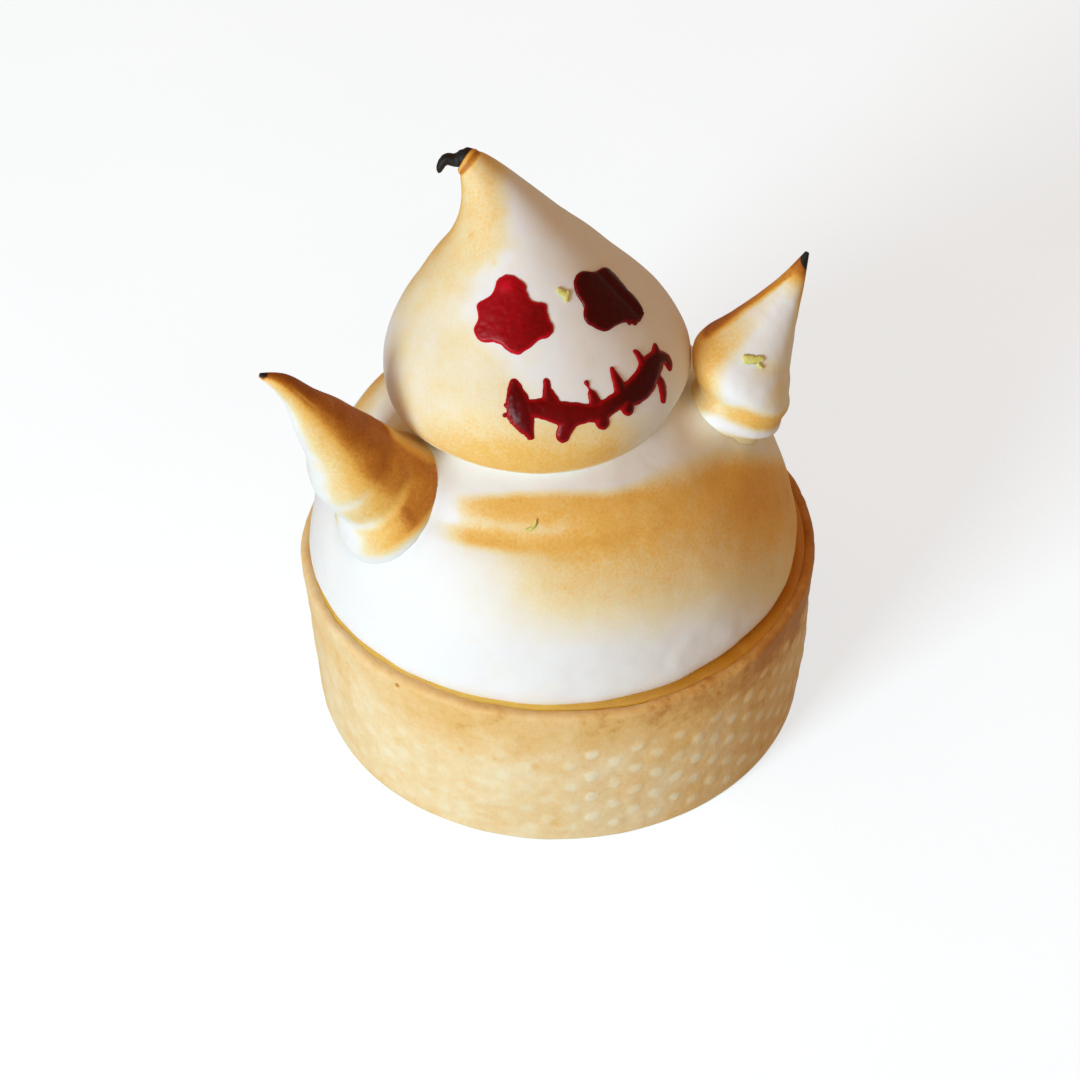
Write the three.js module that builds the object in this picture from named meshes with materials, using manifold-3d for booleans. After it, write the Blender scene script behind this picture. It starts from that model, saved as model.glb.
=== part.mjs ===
// A lemon meringue tart dressed as a ghost: a straight sweet-pastry case baked in a
// perforated ring, lemon filling level with its rim, a piped meringue dome for the body,
// a teardrop meringue for the head with a scorched curl at its tip, two piped cones for
// the arms, and a face drawn in raspberry gel.
// Millimetres, +Z up, origin at the centre of the case's underside, face towards -Y.
import * as THREE from "three";
import { mergeVertices } from "three/addons/utils/BufferGeometryUtils.js";
import Module from "manifold-3d";

const wasm = await Module();
wasm.setup();

// ---- driving dimensions ----------------------------------------------------------------
const CASE_R = 37.5; // outside radius of the case at its rim
const CASE_H = 26.5; // height of the case
const FOOT_R = 36.2; // outside radius of the case just above its foot
const FOOT_ROUND = 0.7; // rounding of the foot
const RIM_WALL = 1.7; // wall thickness at the rim
const FLOOR = 2.6; // thickness of the case's floor
const GAP = 0.3; // clearance between neighbouring pieces

const FILL_TOP = CASE_H - 0.5; // level of the filling at the wall
const BODY_R = 35.3; // radius of the meringue dome
const BODY_H = 32.6; // height of the dome
const BODY_EDGE = 1.6; // height of the dome's rounded lower edge
const BODY_X = -0.65; // the dome was piped slightly off centre
const BODY_Z = FILL_TOP - 0.05; // underside of the dome

const HEAD = new THREE.Vector3(-2.8, 0.5, 59.1); // the head's form and face are set out from here
const UP = new THREE.Vector3(0, 0, 1);
const FACE_TILT = THREE.MathUtils.degToRad(42); // how far the face looks upwards
const GEL = 0.8; // thickness of the raspberry gel

// Each arm is piped from a seat inside the dome to its point, its lowest rings square to
// base. Stations are [right, back, up, radius, lean] from the point.
const ARM_LEFT = {
  point: new THREE.Vector3(-38.2, -18.5, 71.7),
  base: new THREE.Vector3(-0.61, -0.33, 0.72),
  stations: [
    [17.1, 4.4, -28.1, 7.6, 0],
    [15.6, 3.6, -26.3, 8.5, 0],
    [13.3, 2.7, -20.2, 7.2, 0],
    [10.3, 2, -16.2, 6.6, 0.05],
    [8.7, 1.4, -12.1, 4.9, 0.25],
    [6.6, 0.9, -7.9, 3.45, 0.5],
    [4.6, 0.5, -4.2, 2, 0.8],
    [2.4, 0.2, -1.4, 1.25, 1],
    [0, 0, 0, 0.3, 1],
  ],
};
const ARM_RIGHT = {
  point: new THREE.Vector3(34.5, 4.5, 73),
  base: new THREE.Vector3(0.42, 0.05, 0.91),
  stations: [
    [-13, -5.5, -29, 3.4, 0],
    [-11.5, -5.8, -26.5, 5.2, 0],
    [-9.4, -6.5, -23.1, 6.1, 0],
    [-8.4, -6.6, -20.5, 5.8, 0],
    [-7.6, -6.6, -18.2, 5.7, 0],
    [-8.2, -6.5, -16.3, 6.5, 0],
    [-8.6, -5.5, -14.4, 6.95, 0.1],
    [-7.2, -4.3, -12.1, 5.9, 0.4],
    [-5, -3, -9, 4.05, 0.7],
    [-2.4, -1.5, -4.8, 2.1, 1],
    [0, 0, 0, 0.3, 1],
  ],
};

const AROUND = { case: 60, body: 46, head: 36, arm: 20, blot: 24 }; // facets round each

// ---- closed forms ----------------------------------------------------------------------

function meshOf(points, triangles) {
  const geometry = new THREE.BufferGeometry();
  geometry.setAttribute("position", new THREE.Float32BufferAttribute(points, 3));
  return geometry.setIndex(triangles);
}

// Catmull-Rom through stations [x, y, z, radius], at t from 0 to 1.
function between(stations, t, k) {
  const u = t * (stations.length - 1);
  const i = Math.min(Math.floor(u), stations.length - 2);
  const at = (n) => stations[THREE.MathUtils.clamp(n, 0, stations.length - 1)][k];
  const f = u - i;
  const [a, b, c, d] = [at(i - 1), at(i), at(i + 1), at(i + 2)];
  return b + 0.5 * f * (c - a + f * (2 * a - 5 * b + 4 * c - d + f * (3 * (b - c) + d - a)));
}

// A closed form of rings along the line through its stations, which are [x, y, z, radius,
// lean]: rings are square to upright at lean 0 and to the line at lean 1, which is also
// what they are when lean is left out. relief(t, angle) is added to each radius.
function pipedForm(stations, along, around, upright = UP, relief = () => 0) {
  const points = [];
  const triangles = [];
  const centre = (t) => new THREE.Vector3(...[0, 1, 2].map((k) => between(stations, t, k)));
  const step = 0.5 / along;
  for (let i = 0; i <= along; i++) {
    const t = i / along;
    const c = centre(t);
    const ahead = centre(Math.min(1, t + step)).sub(centre(Math.max(0, t - step))).normalize();
    const lean = stations[0].length > 4 ? THREE.MathUtils.clamp(between(stations, t, 4), 0, 1) : 1;
    ahead.multiplyScalar(lean).addScaledVector(upright, 1 - lean).normalize();
    const side = new THREE.Vector3(0, 1, 0).addScaledVector(ahead, -ahead.y).normalize();
    const back = new THREE.Vector3().crossVectors(ahead, side);
    for (let j = 0; j < around; j++) {
      const angle = (2 * Math.PI * j) / around;
      const r = Math.max(0.05, between(stations, t, 3) + relief(t, angle));
      const p = c.clone().addScaledVector(side, r * Math.cos(angle));
      p.addScaledVector(back, r * Math.sin(angle));
      points.push(p.x, p.y, p.z);
    }
  }
  for (let i = 0; i < along; i++)
    for (let j = 0; j < around; j++) {
      const [a, b] = [i * around + j, i * around + ((j + 1) % around)];
      triangles.push(a, b, a + around, b, b + around, a + around);
    }
  const first = centre(0);
  const last = centre(1);
  const pole = points.length / 3;
  points.push(first.x, first.y, first.z, last.x, last.y, last.z);
  const top = along * around;
  for (let j = 0; j < around; j++) {
    triangles.push(pole, (j + 1) % around, j);
    triangles.push(pole + 1, top + j, top + ((j + 1) % around));
  }
  return meshOf(points, triangles);
}

function solidOf(geometry) {
  const bare = geometry.clone();
  bare.deleteAttribute("normal");
  bare.deleteAttribute("uv");
  const merged = mergeVertices(bare, 1e-4);
  return new wasm.Manifold(
    new wasm.Mesh({
      numProp: 3,
      vertProperties: merged.attributes.position.array,
      triVerts: new Uint32Array(merged.index.array),
    }),
  );
}

function geometryOf(solid) {
  const mesh = solid.getMesh();
  const geometry = new THREE.BufferGeometry();
  geometry.setAttribute("position", new THREE.BufferAttribute(mesh.vertProperties, 3));
  return geometry.setIndex(new THREE.BufferAttribute(mesh.triVerts, 1));
}

// Points of an arc in a lathe's section, in degrees.
function arc(cx, cy, radius, from, to, count) {
  const points = [];
  for (let i = 0; i <= count; i++) {
    const a = THREE.MathUtils.degToRad(from + ((to - from) * i) / count);
    points.push(new THREE.Vector2(cx + radius * Math.cos(a), cy + radius * Math.sin(a)));
  }
  return points;
}

function lathe(section, around) {
  return new THREE.LatheGeometry(section, around).rotateX(Math.PI / 2);
}

// ---- case and filling ------------------------------------------------------------------

// The pastry case, with a rounded foot and a rim that is left slightly uneven.
function crust() {
  const rimRound = RIM_WALL / 2;
  const inside = CASE_R - RIM_WALL;
  const section = [
    new THREE.Vector2(0, 0),
    ...arc(FOOT_R - FOOT_ROUND, FOOT_ROUND, FOOT_ROUND, -90, 0, 3),
    new THREE.Vector2(FOOT_R + 0.55 * (CASE_R - FOOT_R), CASE_H * 0.4),
    new THREE.Vector2(CASE_R - 0.45, CASE_H * 0.75),
    ...arc(CASE_R - rimRound, CASE_H - rimRound, rimRound, 0, 180, 5),
    new THREE.Vector2(inside - 1.2, FLOOR + 3),
    new THREE.Vector2(inside - 3, FLOOR),
    new THREE.Vector2(0, FLOOR),
  ];
  const geometry = lathe(section, AROUND.case);
  const p = geometry.attributes.position;
  const unevenFrom = 0.7 * CASE_H;
  for (let i = 0; i < p.count; i++) {
    const angle = Math.atan2(p.getY(i), p.getX(i));
    const wave = 0.2 * Math.sin(3 * angle + 0.8) + 0.1 * Math.sin(7 * angle);
    const share = Math.max(0, (p.getZ(i) - unevenFrom) / (CASE_H - unevenFrom));
    p.setZ(i, p.getZ(i) + wave * share);
  }
  return geometry;
}

// Lemon filling, level with the rim, with a low lip against the wall.
function filling() {
  const inside = CASE_R - RIM_WALL - GAP;
  const level = BODY_Z - GAP;
  const section = [
    new THREE.Vector2(0, FLOOR + GAP),
    new THREE.Vector2(inside - 3, FLOOR + GAP),
    new THREE.Vector2(inside - 1.3, FLOOR + 3.2),
    new THREE.Vector2(inside - 0.3, FILL_TOP - 1.2),
    new THREE.Vector2(inside - 0.15, level),
    new THREE.Vector2(0, level),
  ];
  return lathe(section, AROUND.case);
}

// ---- meringue --------------------------------------------------------------------------

// The dome. grow makes it larger, for cutting.
function bodyForm(grow) {
  const stations = [
    [BODY_X, 0, BODY_Z - grow, BODY_R - 1.1 + grow],
    [BODY_X, 0, BODY_Z + 0.6 * BODY_EDGE, BODY_R - 0.3 + grow],
  ];
  const steps = 12;
  const nearlyTop = 0.985 * (Math.PI / 2);
  for (let i = 0; i <= steps; i++) {
    const a = (i / steps) * nearlyTop;
    const z = BODY_Z + BODY_EDGE + (BODY_H - BODY_EDGE + grow) * Math.sin(a);
    stations.push([BODY_X, 0, z, (BODY_R + grow) * Math.cos(a)]);
  }
  return pipedForm(stations, 16, AROUND.body);
}

// The head: a teardrop leaning to the viewer's left, its tip broken off square towards
// the left, with a small scorched curl. Stations are [right, back, up, radius, lean] from
// HEAD.
function headForm(grow) {
  const stations = [
    [1.9, -0.8, -5.2 - grow, 17.8, 0],
    [0.1, -0.6, -3.5, 19.8, 0],
    [0.2, 0, -0.6, 21.2, 0],
    [0.2, 0.1, 3.4, 20.6, 0],
    [-0.2, 0.5, 7.4, 18.4, 0],
    [-1.2, 1.1, 11.4, 15.2, 0.15],
    [-2.3, 1.8, 15.4, 11.9, 0.4],
    [-3.4, 2.5, 19.4, 8.4, 0.7],
    [-4.7, 3.2, 23.4, 5.4, 1],
    [-6.4, 3.7, 27.2, 3.1, 1],
    [-8.1, 4, 29.4, 1.9, 1],
    [-9, 4.1, 29.8, 1.4, 1],
    [-10, 4.1, 29.9, 1, 1],
    [-10.9, 4, 29.7, 0.8, 1],
    [-11.6, 3.8, 29, 0.5, 1],
    [-12, 3.6, 28.3, 0.2, 1],
  ].map(([x, y, z, r, lean]) => [HEAD.x + x, HEAD.y + y, HEAD.z + z, r + grow, lean]);
  return pipedForm(stations, 28, AROUND.head);
}

// An arm: a piped cone with a scorched point, ridged near its base.
function armForm({ point, base, stations }) {
  const placed = stations.map(([x, y, z, r, lean]) => [
    point.x + x,
    point.y + y,
    point.z + z,
    r,
    lean,
  ]);
  const ridge = 0.2;
  const ridges = (t) => ridge * Math.sin(40 * t) * Math.max(0, 1 - 2 * t);
  return pipedForm(placed, 18, AROUND.arm, base.clone().normalize(), ridges);
}

// ---- face ------------------------------------------------------------------------------

const headMesh = new THREE.Mesh(headForm(0));
const faceOut = new THREE.Vector3(0, -Math.cos(FACE_TILT), Math.sin(FACE_TILT));
const faceUp = new THREE.Vector3(0, Math.sin(FACE_TILT), Math.cos(FACE_TILT));

// The point of the head behind (across, up) on the face's plane, lifted off it.
function onFace(across, up, lift) {
  const clear = 60;
  const from = HEAD.clone().addScaledVector(faceOut, clear).addScaledVector(faceUp, up);
  from.x += across;
  const caster = new THREE.Raycaster(from, faceOut.clone().negate());
  const hit = caster.intersectObject(headMesh)[0].point;
  return hit.addScaledVector(hit.clone().sub(HEAD).normalize(), lift);
}

// How far an outline of [across, up] points reaches from (0, 0) at an angle.
function reachAt(outline, angle) {
  const [c, s] = [Math.cos(angle), Math.sin(angle)];
  let reach = 0;
  outline.forEach(([x0, y0], i) => {
    const [x1, y1] = outline[(i + 1) % outline.length];
    const [a, b] = [y0 * c - x0 * s, y1 * c - x1 * s];
    if (a * b > 0 || a === b) return;
    const share = a / (a - b);
    const along = (x0 + share * (x1 - x0)) * c + (y0 + share * (y1 - y0)) * s;
    reach = Math.max(reach, along);
  });
  return reach;
}

// A blot of gel on the head round (across, up): a domed top over an underside that
// follows the meringue. Its outline is set out from HEAD.
function blot(across, up, outline) {
  const around = AROUND.blot;
  const rings = [
    [0.5, 1],
    [0.85, 0.8],
    [1, 0.35],
  ];
  const points = [];
  const triangles = [];
  const edge = outline.map(([x, y]) => [x - across, y - up]);
  const put = (share, angle, lift) => {
    const r = share * reachAt(edge, angle);
    const p = onFace(across + r * Math.cos(angle), up + r * Math.sin(angle), lift);
    points.push(p.x, p.y, p.z);
  };
  put(0, 0, GAP + GEL);
  for (const [share, height] of rings)
    for (let j = 0; j < around; j++) put(share, (2 * Math.PI * j) / around, GAP + GEL * height);
  for (let k = rings.length - 1; k >= 0; k--)
    for (let j = 0; j < around; j++) put(rings[k][0], (2 * Math.PI * j) / around, GAP);
  put(0, 0, GAP);
  const layers = 2 * rings.length;
  const at = (k, j) => 1 + k * around + (j % around);
  const last = 1 + layers * around;
  for (let j = 0; j < around; j++) {
    triangles.push(0, at(0, j), at(0, j + 1));
    for (let k = 0; k + 1 < layers; k++) {
      triangles.push(at(k, j), at(k + 1, j), at(k, j + 1));
      triangles.push(at(k, j + 1), at(k + 1, j), at(k + 1, j + 1));
    }
    triangles.push(last, at(layers - 1, j + 1), at(layers - 1, j));
  }
  return meshOf(points, triangles);
}

function eyeLeft() {
  return blot(-2.6, 4.2, [
    [-3.4, 9.5], [-0.9, 7.9], [0.1, 6], [1.7, 5.7], [2.1, 4.1], [2.6, 1.6], [1.3, 1], [0.1, 0.3],
    [-2.6, -1], [-5.1, 0.7], [-6.7, 0.8], [-7.8, 2.3], [-7.2, 4.1], [-7.2, 5.8], [-5.3, 7],
    [-4.7, 8.7],
  ]);
}

function eyeRight() {
  return blot(9.6, 6.2, [
    [6, 9.6], [8.4, 9.9], [9.3, 10.6], [12.3, 8.2], [14.4, 5.7], [14.3, 3.7], [11.6, 3.2],
    [9.4, 2], [7.4, 2.8], [6.4, 4.1], [6.4, 5], [5.2, 7.4],
  ]);
}

// One stroke of gel through [across, up, half width] points, its underside lifted by
// under.
function stroke(route, steps, under) {
  const flat = route.map(([x, y, w]) => [x, y, 0, w]);
  const points = [];
  const triangles = [];
  const sides = 5;
  for (let i = 0; i <= steps; i++) {
    const t = i / steps;
    const [x, y, w] = [0, 1, 3].map((k) => between(flat, t, k));
    const t0 = Math.max(0, t - 0.02);
    const t1 = Math.min(1, t + 0.02);
    const dx = between(flat, t1, 0) - between(flat, t0, 0);
    const dy = between(flat, t1, 1) - between(flat, t0, 1);
    const n = Math.hypot(dx, dy);
    const edge = (share, lift) => {
      const p = onFace(x - (share * w * dy) / n, y + (share * w * dx) / n, lift);
      points.push(p.x, p.y, p.z);
    };
    edge(-1, under);
    edge(-0.75, GAP + 0.7 * GEL);
    edge(0, GAP + GEL);
    edge(0.75, GAP + 0.7 * GEL);
    edge(1, under);
  }
  for (let i = 0; i < steps; i++)
    for (let j = 0; j < sides; j++) {
      const [a, b] = [i * sides + j, i * sides + ((j + 1) % sides)];
      triangles.push(a, a + sides, b, b, a + sides, b + sides);
    }
  for (let j = 1; j + 1 < sides; j++) {
    triangles.push(0, j, j + 1);
    const end = steps * sides;
    triangles.push(end, end + j + 1, end + j);
  }
  return solidOf(meshOf(points, triangles));
}

// The mouth: a slash and a wide smile, run together and crossed by short stitches.
function mouth() {
  const smile = [
    [-1.3, -8.1, 1.3],
    [1.8, -8.3, 1.5],
    [3.5, -8.8, 1.6],
    [5.3, -8.9, 1.6],
    [7, -8.8, 1.3],
    [8.5, -8.6, 1.3],
    [10.4, -7.5, 1.2],
    [12.2, -6.2, 1.2],
    [13.9, -4.8, 1.5],
    [15.3, -3.2, 1.6],
    [16.4, -1.5, 1.3],
    [17.6, -1.4, 0.8],
    [18.2, -2.7, 0.4],
  ];
  const stitches = [
    [[-2.5, -4.7, 0.6], [-2, -6.6, 1.3], [-1.5, -8.3, 1.7], [-0.9, -10.1, 1.1], [-0.4, -11.8, 0.4]],
    [[1.6, -4.5, 0.4], [2.2, -7.3, 1.2]],
    [[6.9, -4.8, 0.3], [8, -7.3, 0.9]],
    [[10.3, -2.8, 0.3], [11.4, -5.6, 0.9]],
    [[13.5, -0.4, 0.3], [14.9, -2.5, 0.8]],
    [[16.2, 0.7, 0.3], [16.4, -0.9, 0.8]],
    [[3.7, -12.6, 0.5], [3.8, -11.7, 1], [4.6, -9.6, 1.3]],
    [[8.9, -10.9, 0.5], [8.9, -10, 1], [8.7, -8.8, 1]],
    [[12.4, -8.9, 0.4], [12.4, -8.2, 0.8], [12.8, -6.5, 0.8]],
    [[17.2, -7.3, 0.3], [16.6, -3.9, 0.5]],
  ];
  const apart = 0.02; // keeps the undersides of crossing strokes out of one plane
  let whole = stroke(smile, 22, GAP);
  stitches.forEach((route, i) => {
    whole = whole.add(stroke(route, 2 * route.length - 1, GAP + apart * (1 + i / 5)));
  });
  return geometryOf(whole);
}

// ---- the tart --------------------------------------------------------------------------

const looks = {
  crust: [0xe8c58a, 0.8],
  lemon: [0xe0a53a, 0.25],
  meringue: [0xf7f3ea, 0.6],
  gel: [0x8e0a12, 0.15],
};
const tart = new THREE.Group();

function add(name, geometry, [color, roughness]) {
  const material = new THREE.MeshStandardMaterial({ color, roughness, metalness: 0 });
  const mesh = new THREE.Mesh(geometry, material);
  mesh.name = name;
  tart.add(mesh);
}

const roomForBody = solidOf(bodyForm(GAP));
const roomForHead = solidOf(headForm(GAP));
const head = solidOf(headForm(0)).subtract(roomForBody);

const armLeft = solidOf(armForm(ARM_LEFT)).subtract(roomForBody);
const armRight = solidOf(armForm(ARM_RIGHT)).subtract(roomForBody.add(roomForHead));

add("crust", crust(), looks.crust);
add("lemon_filling", filling(), looks.lemon);
add("meringue_body", bodyForm(0), looks.meringue);
add("meringue_head", geometryOf(head), looks.meringue);
add("arm_left", geometryOf(armLeft), looks.meringue);
add("arm_right", geometryOf(armRight), looks.meringue);
add("eye_left", eyeLeft(), looks.gel);
add("eye_right", eyeRight(), looks.gel);
add("mouth", mouth(), looks.gel);

export default tart;
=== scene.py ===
# The looks of the lemon meringue tart: every CAD solid is replaced by a fine mesh of the
# same form, with the pastry's raised dots, the meringue's piping and torch marks, and the
# gel's thickness modelled. Lengths named below are in millimetres unless they say metres.
import math

import bpy
import numpy as np
from mathutils import Matrix, Vector
from mathutils.bvhtree import BVHTree


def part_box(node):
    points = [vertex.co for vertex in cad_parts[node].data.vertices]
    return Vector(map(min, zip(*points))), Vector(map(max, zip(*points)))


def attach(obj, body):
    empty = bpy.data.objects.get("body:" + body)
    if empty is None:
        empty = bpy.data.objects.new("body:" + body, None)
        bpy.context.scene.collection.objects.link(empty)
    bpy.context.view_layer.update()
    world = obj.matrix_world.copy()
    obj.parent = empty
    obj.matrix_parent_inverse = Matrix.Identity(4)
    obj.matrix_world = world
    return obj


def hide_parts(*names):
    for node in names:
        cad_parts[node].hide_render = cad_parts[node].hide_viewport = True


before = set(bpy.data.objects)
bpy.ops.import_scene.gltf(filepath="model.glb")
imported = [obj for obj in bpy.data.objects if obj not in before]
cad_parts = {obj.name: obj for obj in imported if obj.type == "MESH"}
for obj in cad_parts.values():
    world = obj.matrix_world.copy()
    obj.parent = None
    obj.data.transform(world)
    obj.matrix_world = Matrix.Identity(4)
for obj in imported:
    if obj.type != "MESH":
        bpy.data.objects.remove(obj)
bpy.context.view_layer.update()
MM = 0.001  # metres in a millimetre


def box_mm(node):
    low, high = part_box(node)
    return np.array(low) / MM, np.array(high) / MM


# ---- places, from the frame -------------------------------------------------------------

case_low, case_high = box_mm("crust")
RIM_R = (case_high[0] - case_low[0]) / 2
RIM_WAVE = 0.25  # how far the CAD rim rises above its mean height
RIM_Z = case_high[2] - RIM_WAVE
RIM_WALL = 1.7
FOOT_R = RIM_R - 1.3
FOOT_ROUND = 0.7
FLOOR = 2.6
WALL_FROM = FOOT_R - FOOT_ROUND - 1.5  # the case's wall lies outside this radius

dome_low, dome_high = box_mm("meringue_body")
DOME_X = (dome_low[0] + dome_high[0]) / 2
DOME_R = (dome_high[1] - dome_low[1]) / 2
DOME_Z = dome_low[2]
DOME_TOP = dome_high[2]

head_low, head_high = box_mm("meringue_head")
HEAD_X = (head_low[0] + head_high[0]) / 2 - 0.2
HEAD = np.array([HEAD_X, 0.5, head_high[2] - 31.25])  # what the face is set out from

left_low, left_high = box_mm("arm_left")
right_high = box_mm("arm_right")[1]
LEFT_TIP = np.array([left_low[0] + 0.14, -18.5, left_high[2] - 0.3])
RIGHT_TIP = np.array([right_high[0] - 0.3, 4.5, right_high[2] - 0.15])
FLOW = 5.0  # how near two piped forms come before they run together

FACE_TILT = math.radians(42)  # how far the face looks upwards
ACROSS = np.array([1.0, 0.0, 0.0])
FACE_UP = np.array([0.0, math.sin(FACE_TILT), math.cos(FACE_TILT)])
FACE_OUT = np.array([0.0, -math.cos(FACE_TILT), math.sin(FACE_TILT)])


# ---- numbers ----------------------------------------------------------------------------


def ramp(x, low, high):
    """0 at low, 1 at high, smooth between; low may be the larger."""
    t = np.clip((x - low) / (high - low), 0.0, 1.0)
    return t * t * (3 - 2 * t)


def bell(x, middle, width):
    """1 at middle, falling away on both sides over about width."""
    return np.exp(-(((x - middle) / width) ** 2))


def noise(points, cell, seed, octaves=1):
    """Smooth noise of about -1 to 1 at points (..., 3), its features one cell wide."""
    table = np.random.default_rng(seed).uniform(-1, 1, 4096)
    total = np.zeros(points.shape[:-1])
    for octave in range(octaves):
        q = points * 2**octave / cell + 31.7 * octave
        corner = np.floor(q).astype(np.int64)
        f = q - corner
        f = f * f * f * (f * (f * 6 - 15) + 10)
        for dx in (0, 1):
            for dy in (0, 1):
                for dz in (0, 1):
                    key = (corner[..., 0] + dx) * 73856093
                    key = key ^ (corner[..., 1] + dy) * 19349663
                    key = key ^ (corner[..., 2] + dz) * 83492791
                    share = np.abs((1 - dx) - f[..., 0])
                    share = share * np.abs((1 - dy) - f[..., 1])
                    share = share * np.abs((1 - dz) - f[..., 2])
                    total += share * table[key & 4095] / 2**octave
    return total


def spline(knots, t):
    """A natural cubic spline through knots (n, k), at shares t of its chord length."""
    knots = np.asarray(knots, float)
    step = np.linalg.norm(np.diff(knots[:, :4], axis=0), axis=1)
    place = np.concatenate([[0.0], np.cumsum(step)])
    place /= place[-1]
    h = np.diff(place)
    n = len(knots)
    system = np.eye(n)
    rise = np.zeros_like(knots)
    for i in range(1, n - 1):
        system[i, i - 1 : i + 2] = (h[i - 1], 2 * (h[i - 1] + h[i]), h[i])
        slope = (knots[i + 1] - knots[i]) / h[i] - (knots[i] - knots[i - 1]) / h[i - 1]
        rise[i] = 6 * slope
    bend = np.linalg.solve(system, rise)
    t = np.asarray(t)
    i = np.clip(np.searchsorted(place, t, "right") - 1, 0, n - 2)
    width = h[i][:, None]
    f = (t - place[i])[:, None] / width
    g = 1 - f
    curve = ((f**3 - f) * bend[i + 1] + (g**3 - g) * bend[i]) * width**2 / 6
    return g * knots[i] + f * knots[i + 1] + curve


def closed_curve(points, count):
    """A smooth closed curve through points."""
    ring = np.concatenate([points[-3:], points, points[:4]])
    place = np.concatenate([[0.0], np.cumsum(np.linalg.norm(np.diff(ring, axis=0), axis=1))])
    place /= place[-1]
    return spline(ring, np.linspace(place[3], place[3 + len(points)], count, endpoint=False))


def soft_max(values, k):
    """The largest of a list of arrays, with their meetings rounded over about k."""
    top = np.max(values, axis=0)
    return top + k * np.log(np.sum([np.exp((v - top) / k) for v in values], axis=0))


# ---- meshes -----------------------------------------------------------------------------


def make_piece(name, points, faces, masks=None):
    """A smooth-shaded mesh from points in mm, with a float attribute for each mask."""
    mesh = bpy.data.meshes.new(name)
    mesh.from_pydata((np.asarray(points) * MM).tolist(), [], faces)
    mesh.update()
    mesh.shade_smooth()
    for key, values in (masks or {}).items():
        mask = mesh.attributes.new(key, "FLOAT", "POINT")
        mask.data.foreach_set("value", np.asarray(values, np.float32).ravel())
    piece = bpy.data.objects.new(name, mesh)
    bpy.context.scene.collection.objects.link(piece)
    return piece


def finish_piece(piece, material, replaces=()):
    """Gives a piece its material, and says what it rides on and what it replaces."""
    piece.data.materials.append(material)
    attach(piece, "root")
    if replaces:
        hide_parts(*replaces)
    return piece


def ring_faces(rings, around):
    """Quads between rings of points, and a fan to a pole point at each end."""
    faces = []
    for i in range(rings - 1):
        for j in range(around):
            a = i * around + j
            b = i * around + (j + 1) % around
            faces.append((a, b, b + around, a + around))
    first = rings * around
    top = (rings - 1) * around
    for j in range(around):
        k = (j + 1) % around
        faces.append((first, k, j))
        faces.append((first + 1, top + j, top + k))
    return faces


def with_poles(grid):
    """Points of a grid (rings, around, ...) as a list, then its two poles."""
    flat = grid.reshape(-1, *grid.shape[2:])
    return np.concatenate([flat, [grid[0].mean(0)], [grid[-1].mean(0)]])


def ring_piece(name, grid, masks):
    """A piece from a grid of rings, closed by its poles, with masks on the same grid."""
    flat = {key: with_poles(values) for key, values in masks.items()}
    return make_piece(name, with_poles(grid), ring_faces(*grid.shape[:2]), flat)


def normals_of(grid):
    """Outward unit normals of a closed grid of rings."""
    along = np.gradient(grid, axis=0)
    around = np.roll(grid, -1, 1) - np.roll(grid, 1, 1)
    normal = np.cross(around, along)
    return normal / np.maximum(np.linalg.norm(normal, axis=2, keepdims=True), 1e-9)


def piped(stations, along, around, upright=(0.0, 0.0, 1.0)):
    """Rings along a line through stations (x, y, z, radius, lean): grid, t and out.

    Rings are square to upright at lean 0 and to the line at lean 1, or with no lean given.
    """
    stations = np.asarray(stations, float)
    t = np.linspace(0, 1, along)
    line = spline(stations, t)
    ahead = np.gradient(line[:, :3], axis=0)
    ahead /= np.linalg.norm(ahead, axis=1, keepdims=True)
    if stations.shape[1] > 4:
        lean = np.clip(line[:, 4:5], 0, 1)
        ahead = ahead * lean + np.array(upright) / np.linalg.norm(upright) * (1 - lean)
        ahead /= np.linalg.norm(ahead, axis=1, keepdims=True)
    side = np.array([0.0, 1.0, 0.0]) - ahead * ahead[:, 1:2]
    side /= np.linalg.norm(side, axis=1, keepdims=True)
    back = np.cross(ahead, side)
    angle = np.linspace(0, 2 * math.pi, around, endpoint=False)
    radius = np.maximum(line[:, 3], 0.04)[:, None, None]
    out = side[:, None] * np.cos(angle)[None, :, None]
    out = out + back[:, None] * np.sin(angle)[None, :, None]
    return line[:, None, :3] + radius * out, t[:, None], out


def tree_of(grid):
    return BVHTree.FromPolygons(with_poles(grid).tolist(), ring_faces(*grid.shape[:2]))


def flow_into(grid, trees, reach):
    """The grid swollen where it comes within reach of other forms, to run into them softly."""
    swell = np.zeros(grid.shape[:2])
    normals = normals_of(grid)
    for tree in trees:
        for i, j in np.ndindex(swell.shape):
            at = Vector(grid[i, j])
            if tree.find_nearest(at, reach)[0] is None:
                continue
            normal = Vector(normals[i, j])
            out = 0.0
            for _ in range(5):  # enough rounds for out to settle
                place = at + out * normal
                touch, facing, _, gap = tree.find_nearest(place)
                if (place - touch).dot(facing) < 0:
                    gap = -gap
                out = 0.5 * out + 0.5 * max(0.0, reach - abs(out - gap)) ** 2 / (4 * reach)
            swell[i, j] = max(swell[i, j], out)
    return grid + normals * swell[..., None]


# ---- materials --------------------------------------------------------------------------


def srgb(red, green, blue):
    """A colour of 0-255 as the eye sees it, for a shader."""
    value = np.array([red, green, blue]) / 255
    linear = np.where(value <= 0.04045, value / 12.92, ((value + 0.055) / 1.055) ** 2.4)
    return (*linear, 1.0)


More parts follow.
